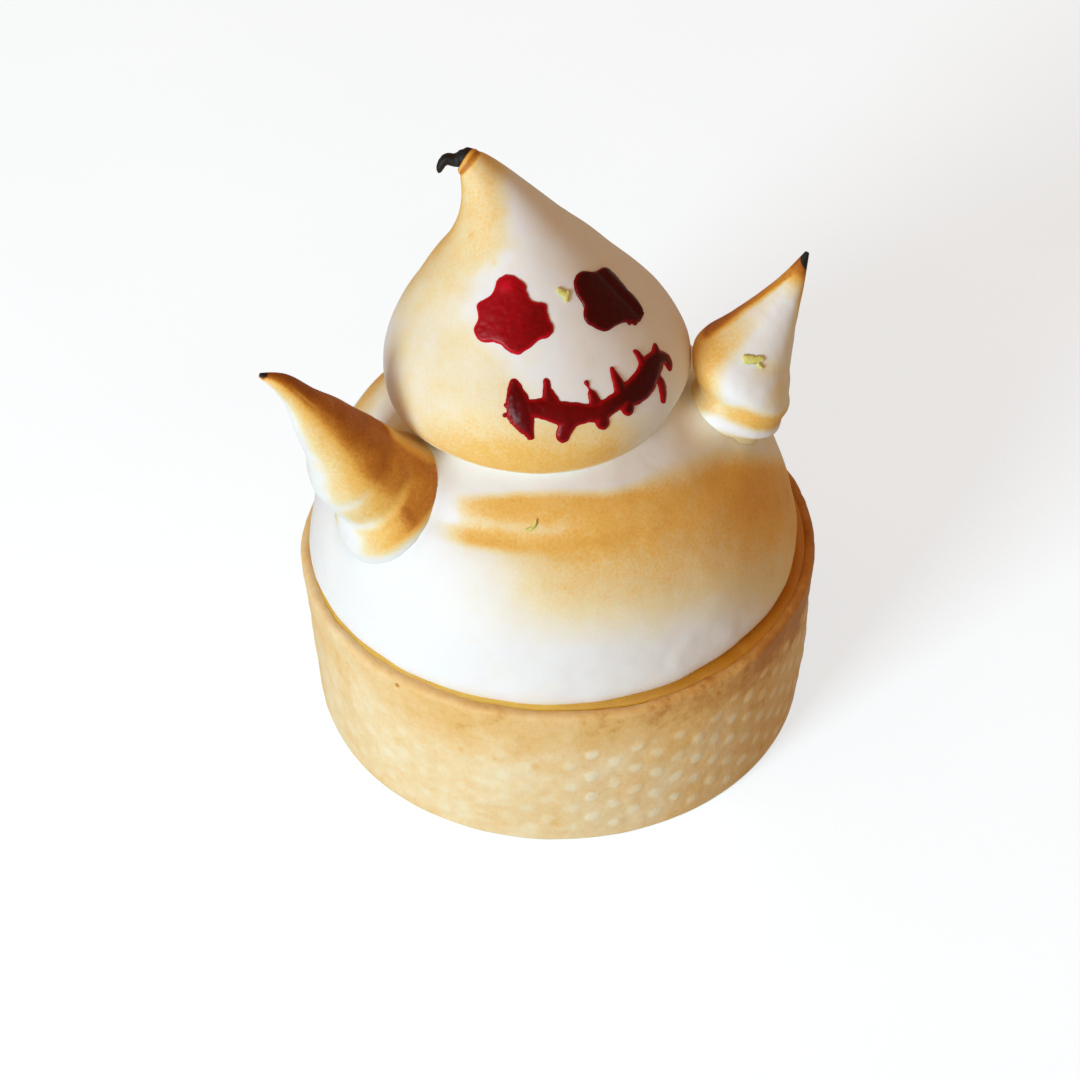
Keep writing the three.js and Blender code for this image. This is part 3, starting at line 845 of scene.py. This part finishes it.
def surface_of(piece, origin, clear):
    """A function that finds a piece's surface behind (across, up) of origin.

    It looks from clear mm out, against FACE_OUT, and gives the place and the normal.
    """
    tree = BVHTree.FromObject(piece, bpy.context.evaluated_depsgraph_get())

    def surface(across, up):
        start = (origin + clear * FACE_OUT + across * ACROSS + up * FACE_UP) * MM
        hit, normal, _, _ = tree.ray_cast(Vector(start), Vector(-FACE_OUT))
        return np.array(hit) / MM, np.array(normal)

    return surface


def blob(field, low, high, step):
    """The part of a grid where field(x, y) > 0: points (x, y, field) and faces."""
    xs = np.arange(low[0], high[0], step)
    ys = np.arange(low[1], high[1], step)
    gx, gy = np.meshgrid(xs, ys, indexing="ij")
    level = field(gx, gy)
    points = []
    known = {}

    def corner(i, j):
        if (i, j) not in known:
            known[i, j] = len(points)
            points.append((xs[i], ys[j], level[i, j]))
        return known[i, j]

    def crossing(i, j, k, m):
        key = ((i, j), (k, m)) if (i, j) < (k, m) else ((k, m), (i, j))
        if key not in known:
            share = level[i, j] / (level[i, j] - level[k, m])
            known[key] = len(points)
            x = xs[i] + share * (xs[k] - xs[i])
            points.append((x, ys[j] + share * (ys[m] - ys[j]), 0.0))
        return known[key]

    faces = []
    for i in range(len(xs) - 1):
        for j in range(len(ys) - 1):
            square = [(i, j), (i + 1, j), (i + 1, j + 1), (i, j + 1)]
            inside = [level[c] > 0 for c in square]
            if not any(inside):
                continue
            loop = []
            for a in range(4):
                here, there = square[a], square[(a + 1) % 4]
                if inside[a]:
                    loop.append(corner(*here))
                if inside[a] != inside[(a + 1) % 4]:
                    loop.append(crossing(*here, *there))
            faces.append(tuple(loop))
    return np.array(points), faces


def gel_piece(name, field, low, high, height_of, deep_of, surface, node):
    """Gel as thick as height_of(x, y, depth) says, and as dark as deep_of(x, y, depth)."""
    step = 0.12
    sunk = 0.15  # how far its underside lies in the meringue
    points, faces = blob(field, low, high, step)
    x, y, depth = points.T
    heights = height_of(x, y, depth)
    top = []
    bottom = []
    for across, up, height in zip(x, y, heights):
        at, normal = surface(across, up)
        top.append(at + normal * height)
        bottom.append(at - normal * sunk)
    count = len(points)
    edges = {}
    for face in faces:
        for a, b in zip(face, face[1:] + face[:1]):
            edges[a, b] = True
    sides = [(b, a, a + count, b + count) for a, b in edges if (b, a) not in edges]
    under = [tuple(k + count for k in reversed(face)) for face in faces]
    deep_and_highlight = deep_of(x, y, depth)
    piece = make_piece(
        name,
        np.array(top + bottom),
        faces + under + sides,
        {"deep_and_highlight": np.concatenate([deep_and_highlight, deep_and_highlight])},
    )
    return finish_piece(piece, GEL, [node])


def plane_noise(x, y, cell, seed, octaves=1):
    """The same noise over the face's plane."""
    return noise(np.stack([x, y, 0 * x], axis=-1), cell, seed, octaves)


def rounded(depth, edge):
    """The rounded shoulder of a drop: 0 at its rim, 1 from edge inwards."""
    return np.sqrt(1 - (1 - np.clip(depth / edge, 0, 1)) ** 2)


def outline_depth(outline, x, y):
    """How far inside a closed outline each place lies, less than 0 outside it."""
    ends = np.roll(outline, -1, 0)
    nearest = np.full(x.shape, np.inf)
    inside = np.zeros(x.shape, bool)
    for (ax, ay), (bx, by) in zip(outline, ends):
        share = ((x - ax) * (bx - ax) + (y - ay) * (by - ay)) / ((bx - ax) ** 2 + (by - ay) ** 2)
        share = np.clip(share, 0, 1)
        off = np.hypot(x - ax - share * (bx - ax), y - ay - share * (by - ay))
        nearest = np.minimum(nearest, off)
        if ay != by:
            inside ^= ((ay > y) != (by > y)) & (x < (bx - ax) * (y - ay) / (by - ay) + ax)
    return np.where(inside, nearest, -nearest)


def stroke_depth(x, y, route):
    """The depth inside a stroke through (x, y, half width) points."""
    route = spline(np.array(route), np.linspace(0, 1, 8 * len(route)))
    return np.max([w - np.hypot(x - a, y - b) for a, b, w in route], axis=0)


# Outlines and strokes on the face are set out across and up from HEAD. A stroke's third
# number is its half width.
LEFT_EYE = [(-3.4, 9.5), (-0.9, 7.9), (0.1, 6), (1.7, 5.7), (2.1, 4.1), (2.6, 1.6), (1.3, 1)]
LEFT_EYE += [(0.1, 0.3), (-2.6, -1), (-5.1, 0.7), (-6.7, 0.8), (-7.8, 2.3), (-7.2, 4.1)]
LEFT_EYE += [(-7.2, 5.8), (-5.3, 7), (-4.7, 8.7)]
RIGHT_EYE = [(6.3, 9.9), (8.4, 10.2), (9.4, 10.8), (12.3, 8.3), (14.4, 5.7), (14.3, 3.7), (11.6, 3.2)]
RIGHT_EYE += [(9.5, 2), (7.6, 2.8), (6.6, 4.1), (6.7, 5), (5.5, 7.5)]


def eye_left(surface):
    """The eye at the viewer's left, thicker in the lobe at its top, which a painted highlight makes
    brighter.
    """
    outline = closed_curve(np.array(LEFT_EYE), 120)

    def lobe(x, y):
        return bell(np.hypot(x + 3.3, y - 8.0), 0, 1.0)

    def field(x, y):
        return outline_depth(outline, x, y) + 0.1 * plane_noise(x, y, 0.9, 101, 2)

    def height(x, y, depth):
        pits = 0.03 * plane_noise(x, y, 0.7, 102, 2) * ramp(depth, 0.2, 0.8)
        swell = 0.06 * plane_noise(x, y, 2.6, 103) + 0.12 * lobe(x, y)
        return (0.42 + swell) * rounded(depth, 0.6) + pits

    def deep_and_highlight(x, y, depth):
        middle = np.interp(x, (-6.0, -2.0, 0.5), (0.36, 0.44, 0.6))
        # Painted highlight: the lobe is made a lighter red than its depth would give.
        return np.clip(middle - 0.4 * lobe(x, y), 0, 1) * ramp(depth, 0.0, 0.7)

    gel_piece("jam_eye_left", field, (-9, -2), (4, 11), height, deep_and_highlight, surface, "eye_left")


def eye_right(surface):
    """The darker eye at the viewer's right, with a fold across it and nubs at its edge."""
    outline = closed_curve(np.array(RIGHT_EYE), 110)
    nubs = [(14.2, 4.6, 0.5), (13.5, 3.4, 0.35), (12.8, 3.3, 0.35)]

    def field(x, y):
        parts = [outline_depth(outline, x, y)]
        parts += [r - np.hypot(x - a, y - b) for a, b, r in nubs]
        return np.max(parts, axis=0) + 0.09 * plane_noise(x, y, 0.8, 111, 2)

    def height(x, y, depth):
        off_fold = (x - 11.6) * 0.72 + (y - 8.1) * 0.69
        fold = 0.22 * bell(off_fold, -0.1, 0.45) - 0.1 * bell(off_fold, -0.95, 0.35)
        pits = 0.04 * plane_noise(x, y, 0.8, 112, 2) * ramp(depth, 0.2, 0.8)
        return (0.42 + fold) * rounded(depth, 0.6) + pits

    def deep_and_highlight(x, y, depth):
        return 0.7 + 0.3 * ramp(depth, 0.0, 0.5)

    gel_piece("jam_eye_right", field, (4, 1), (16, 12), height, deep_and_highlight, surface, "eye_right")


SLASH = [(-2.6, -4.7, 0.7), (-2.3, -6.6, 1.4), (-1.9, -8.3, 1.7), (-1.2, -10.1, 1.15)]
SLASH += [(-0.4, -11.8, 0.4)]
SMILE = [(-0.25, -8, 1.2), (1.8, -8.3, 1.5), (3.5, -8.8, 1.65), (5.3, -8.9, 1.6), (7, -8.8, 1.3)]
SMILE += [(8.5, -8.6, 1.3), (10.4, -7.5, 1.2), (12.2, -6.2, 1.25), (13.9, -4.8, 1.5)]
SMILE += [(15.3, -3.2, 1.65), (16.4, -1.5, 1.3), (17.6, -1.4, 0.85), (18.2, -2.7, 0.4)]
STITCHES = [
    [(1.65, -4.6, 0.5), (1.7, -5.3, 0.55), (1.9, -6.3, 0.85), (2.2, -7.3, 1.2)],
    [(6.9, -4.8, 0.38), (7.2, -5.5, 0.18), (7.6, -6.3, 0.62), (8, -7.3, 0.9)],
    [(10.3, -2.9, 0.38), (10.5, -3.5, 0.5), (11, -4.6, 0.75), (11.4, -5.6, 0.9)],
    [(13.5, -0.5, 0.4), (14, -1.1, 0.5), (14.4, -1.8, 0.6), (14.9, -2.5, 0.85)],
    [(16.2, 0.5, 0.3), (16.3, -0.1, 0.55), (16.4, -0.9, 0.85)],
    [(17.2, -7.0, 0.42), (17.2, -6.3, 0.55), (17, -4.9, 0.6), (16.6, -3.9, 0.5)],
    [(12.3, -8.2, 0.95), (12.5, -7.3, 0.8), (12.8, -6.6, 1.3), (14.2, -6, 1.2), (15.2, -4.8, 1.1)],
    [(8.9, -10, 1), (8.8, -9.4, 0.95), (8.7, -8.8, 1)],
    [(3.7, -11.7, 1), (4.1, -10.6, 1.1), (4.6, -9.6, 1.35)],
]


def mouth(surface):
    """The slash, the smile and its stitches, run together as one puddle of gel."""
    ragged = [(-3.7, -7.6, 0.35), (-3.9, -8.9, 0.4), (-3.1, -9.2, 0.5)]
    ragged += [(-3.0 + 0.36 * k, -9.8 - 0.36 * k, 0.3 - 0.01 * k) for k in range(7)]

    def field(x, y):
        strokes = [stroke_depth(x, y, route) for route in [SLASH, SMILE, *STITCHES]]
        strokes += [r - np.hypot(x - a, y - b) for a, b, r in ragged]
        return soft_max(strokes, 0.09) - 0.04 + 0.07 * plane_noise(x, y, 0.7, 121, 2)

    def height(x, y, depth):
        runs = 0.07 * plane_noise(x, y, 1.3, 122, 2) * ramp(depth, 0.15, 0.6)
        return 0.46 * rounded(depth, 0.7) * (0.75 + 0.25 * ramp(depth, 0.2, 1.1)) + runs

    def deep_and_highlight(x, y, depth):
        middle = np.interp(x, (-2.0, 2.0, 8.0, 12.0), (0.85, 0.7, 0.74, 1.0))
        return 0.3 + (middle - 0.3) * ramp(depth, 0.05, 0.75)

    gel_piece("jam_mouth", field, (-5, -14), (20, 2), height, deep_and_highlight, surface, "mouth")


# ---- lime zest --------------------------------------------------------------------------


def zest_strip(at, normal, along, length, width, curve, points, faces):
    """Adds one curled strip of zest lying on a surface."""
    normal = normal / np.linalg.norm(normal)
    along = along - normal * (along @ normal)
    along = along / np.linalg.norm(along)
    side = np.cross(normal, along)
    steps, sides = 14, 8
    start = len(points)
    for i in range(steps + 1):
        s = i / steps - 0.5
        taper = math.sqrt(max(0.04, 1 - (2 * s) ** 4))
        centre = at + along * s * length + side * curve * (4 * s * s - 0.4)
        centre = centre + normal * (0.18 + 0.25 * abs(curve) * s * s)
        for j in range(sides):
            a = 2 * math.pi * j / sides
            rough = 1 + 0.18 * math.sin(5 * a + 3 * i + start)
            wide = side * (0.5 * width * taper * rough * math.cos(a))
            points.append(centre + wide + normal * (0.17 * taper * rough * math.sin(a)))
    for i in range(steps):
        for j in range(sides):
            a = start + i * sides + j
            b = start + i * sides + (j + 1) % sides
            faces.append((a, b, b + sides, a + sides))
    faces.append(tuple(start + j for j in reversed(range(sides))))
    faces.append(tuple(start + steps * sides + j for j in range(sides)))


def zest(head_piece, dome_piece, arm_piece):
    """Three bits of lime zest: between the eyes, on the body and on the right arm."""
    points = []
    faces = []
    rim = np.array([0.0, 0.0, RIM_Z])
    on_head = surface_of(head_piece, HEAD, clear=80)
    on_dome = surface_of(dome_piece, rim, clear=80)
    on_arm = surface_of(arm_piece, rim, clear=80)
    spots = [
        (on_head, 3.9, 7.1, (1.0, -0.5), 1.8, 0.9, 0.15),
        (on_head, 4.5, 6.6, (0.3, 1.0), 1.8, 0.7, -0.1),
        (on_dome, -3.4, 1.1, (0.8, 0.75), 2.1, 0.5, 0.45),
        (on_arm, 26.2, 23.2, (1.0, -0.1), 1.7, 1.3, 0.1),
        (on_arm, 27.4, 23.1, (1.0, 0.25), 1.9, 1.0, -0.15),
        (on_arm, 27.7, 22.4, (0.7, -0.9), 1.4, 0.5, 0.1),
    ]
    for surface, across, up, heading, length, width, curve in spots:
        at, normal = surface(across, up)
        along = heading[0] * ACROSS + heading[1] * FACE_UP
        zest_strip(at, normal, along, length, width, curve, points, faces)
    piece = make_piece("lime_zest", np.array(points), faces)
    return finish_piece(piece, zest_material())


# ---- surroundings -----------------------------------------------------------------------


def floor():
    """A floor 6 m square, 0.1 mm under the case."""
    mesh = bpy.data.meshes.new("floor")
    half = 3.0
    below = 0.0001
    corners = [(-half, -half, 0), (half, -half, 0), (half, half, 0), (-half, half, 0)]
    mesh.from_pydata(corners, [], [(0, 1, 2, 3)])
    plane = bpy.data.objects.new("floor", mesh)
    plane.location.z = case_low[2] * MM - below
    mesh.materials.append(floor_material())
    plane.visible_diffuse = False
    plane.visible_glossy = False
    bpy.context.scene.collection.objects.link(plane)


def area_light(name, at, target, size, power, colour):
    """A square lamp, in metres and watts, turned towards target."""
    lamp = bpy.data.lights.new(name, "AREA")
    lamp.size = size
    lamp.energy = power
    lamp.color = colour
    holder = bpy.data.objects.new(name, lamp)
    holder.location = at
    holder.rotation_euler = (Vector(target) - Vector(at)).to_track_quat("-Z", "Y").to_euler()
    bpy.context.scene.collection.objects.link(holder)


def lights():
    """A soft daylight key from the left front, and dim surroundings, warmer from above."""
    middle = Vector((0, 0, 0.045))
    key = middle + 1.2 * Vector((-0.62, -0.75, 0.24)).normalized()
    area_light("key", key, middle, size=0.42, power=13.2, colour=(0.716, 0.886, 1.0))
    world = bpy.data.worlds.new("studio")
    bpy.context.scene.world = world
    world.use_nodes = True
    tree = world.node_tree
    place = tree.nodes.new("ShaderNodeTexCoord")
    split = tree.nodes.new("ShaderNodeSeparateXYZ")
    rescale = tree.nodes.new("ShaderNodeMath")
    rescale.operation = "MULTIPLY_ADD"
    rescale.inputs[1].default_value = 0.5
    rescale.inputs[2].default_value = 0.5
    blend = tree.nodes.new("ShaderNodeMix")
    blend.data_type = "RGBA"
    blend.inputs[6].default_value = (0.407, 0.426, 0.405, 1.0)
    blend.inputs[7].default_value = (0.437, 0.226, 0.083, 1.0)
    tree.links.new(place.outputs["Generated"], split.inputs[0])
    tree.links.new(split.outputs["Z"], rescale.inputs[0])
    tree.links.new(rescale.outputs[0], blend.inputs[0])
    tree.links.new(blend.outputs[2], tree.nodes["Background"].inputs["Color"])


def camera():
    """A long lens 0.375 m away and 42 degrees up, its picture turned one degree."""
    lens = bpy.data.cameras.new("camera")
    lens.sensor_width = 36
    lens.lens = 85.4
    lens.shift_x = -0.0165
    lens.shift_y = -0.0057
    lens.clip_start = 0.01
    distance = 0.375
    back = Vector(FACE_OUT)
    turn = Matrix.Rotation(math.radians(-1.0), 3, back)
    right = turn @ Vector(ACROSS)
    up = turn @ Vector(FACE_UP)
    eye = bpy.data.objects.new("camera", lens)
    place = Matrix((right, up, back)).transposed().to_4x4()
    place.translation = Vector((0, 0, RIM_Z * MM)) + back * distance
    eye.matrix_world = place
    bpy.context.scene.collection.objects.link(eye)
    bpy.context.scene.camera = eye


# ---- the tart ---------------------------------------------------------------------------

MERINGUE = meringue_material()
GEL = gel_material()

pastry_case()
lemon_filling()
body, body_masks = dome()
arms = {
    "arm_left": arm(
        LEFT_ARM, LEFT_BASE, LEFT_TIP, LEFT_TURNS, foot=(0.135, 1.4), bulge=0, toast_of=left_arm_toast
    ),
    "arm_right": arm(
        RIGHT_ARM, RIGHT_BASE, RIGHT_TIP, RIGHT_TURNS, foot=(0.23, 2.4), bulge=1.8, toast_of=right_arm_toast
    ),
}
joined = flow_into(body, [tree_of(grid) for grid, masks in arms.values()], FLOW)
body_piece = meringue_piece("piped_body", joined, body_masks, "meringue_body")
arm_pieces = {}
for node, (grid, masks) in arms.items():
    joined = flow_into(grid, [tree_of(body)], FLOW)
    arm_pieces[node] = meringue_piece("piped_" + node, joined, masks, node)
head_piece = meringue_piece("piped_head", *head(), "meringue_head")
curl()
face = surface_of(head_piece, HEAD, clear=60)
eye_left(face)
eye_right(face)
mouth(face)
zest(head_piece, body_piece, arm_pieces["arm_right"])

floor()
lights()
camera()
bpy.context.scene.view_settings.view_transform = "Standard"
